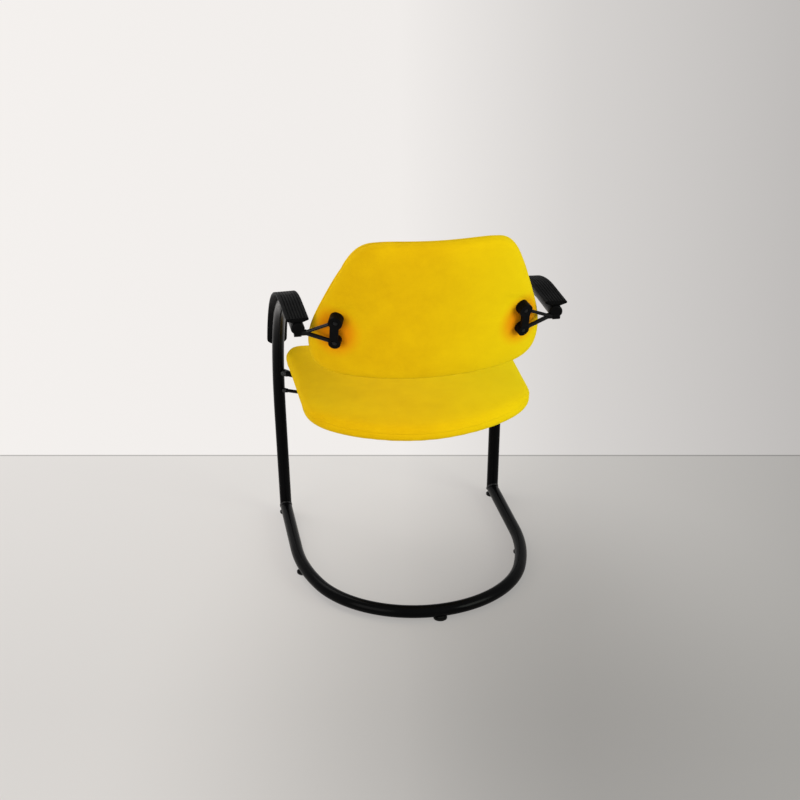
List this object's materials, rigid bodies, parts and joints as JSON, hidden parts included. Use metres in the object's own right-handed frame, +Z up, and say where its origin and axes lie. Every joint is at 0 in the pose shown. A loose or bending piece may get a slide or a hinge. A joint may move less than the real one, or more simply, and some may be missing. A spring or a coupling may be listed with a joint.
{
  "type": "conference chair",
  "caption": "Cantilever conference chair on a bent tube frame, with padded arms, upholstered seat and a back hung on V-shaped links that tilts.",
  "frame": {"origin": "on the floor, under the middle of the chair's bounding box", "axes": "+Z up from the floor; the sitter faces -Y; +X is the sitter's left hand"},
  "size_m": [0.5854, 0.6234, 0.8534],
  "materials": {
    "frame_black": "satin black powder coat",
    "glide_plastic": "matt moulded plastic",
    "pad_rubber": "soft-touch, ribbed lengthwise",
    "moulded_black": "satin moulded plastic",
    "bush_plastic": "plain bearing plastic",
    "fastener_steel": "zinc plated",
    "shell_plywood": "moulded beech plywood",
    "yellow_wool": "felted wool weave"
  },
  "bodies": {
    "frame": {"floor_tube": "frame_black", "left_arm_tube": "frame_black", "right_arm_tube": "frame_black", "frame_welds": "frame_black", "front_left_glide": "glide_plastic", "front_right_glide": "glide_plastic", "side_left_glide": "glide_plastic", "side_right_glide": "glide_plastic", "rear_glide": "glide_plastic", "left_arm_pad": "pad_rubber", "right_arm_pad": "pad_rubber", "arm_pad_screws": "fastener_steel", "seat_cross_tube": "frame_black", "seat_brace_rod": "frame_black", "left_seat_bearer": "frame_black", "right_seat_bearer": "frame_black", "seat_shell": "shell_plywood", "seat_screws": "fastener_steel", "seat_tee_nuts": "fastener_steel", "seat_cushion": "yellow_wool", "left_arm_end": "moulded_black", "right_arm_end": "moulded_black", "left_pivot_bush": "bush_plastic", "right_pivot_bush": "bush_plastic", "pivot_caps": "moulded_black"},
    "backrest": {"left_pivot_pin": "fastener_steel", "right_pivot_pin": "fastener_steel", "pivot_clips": "fastener_steel", "left_link_rod": "frame_black", "right_link_rod": "frame_black", "left_back_bracket": "moulded_black", "right_back_bracket": "moulded_black", "back_screws": "fastener_steel", "back_washers": "fastener_steel", "back_tee_nuts": "fastener_steel", "back_shell": "shell_plywood", "back_front_cushion": "yellow_wool", "back_rear_cushion": "yellow_wool"}
  },
  "joints": [
    {"name": "backrest_tilt", "type": "hinge", "parent": "frame", "child": "backrest", "pos_m": [0, 0.1968, 0.653], "axis": [-1, 0, 0], "range_deg": [-5, 12], "stiffness_Nm_per_rad": 150}
  ]
}
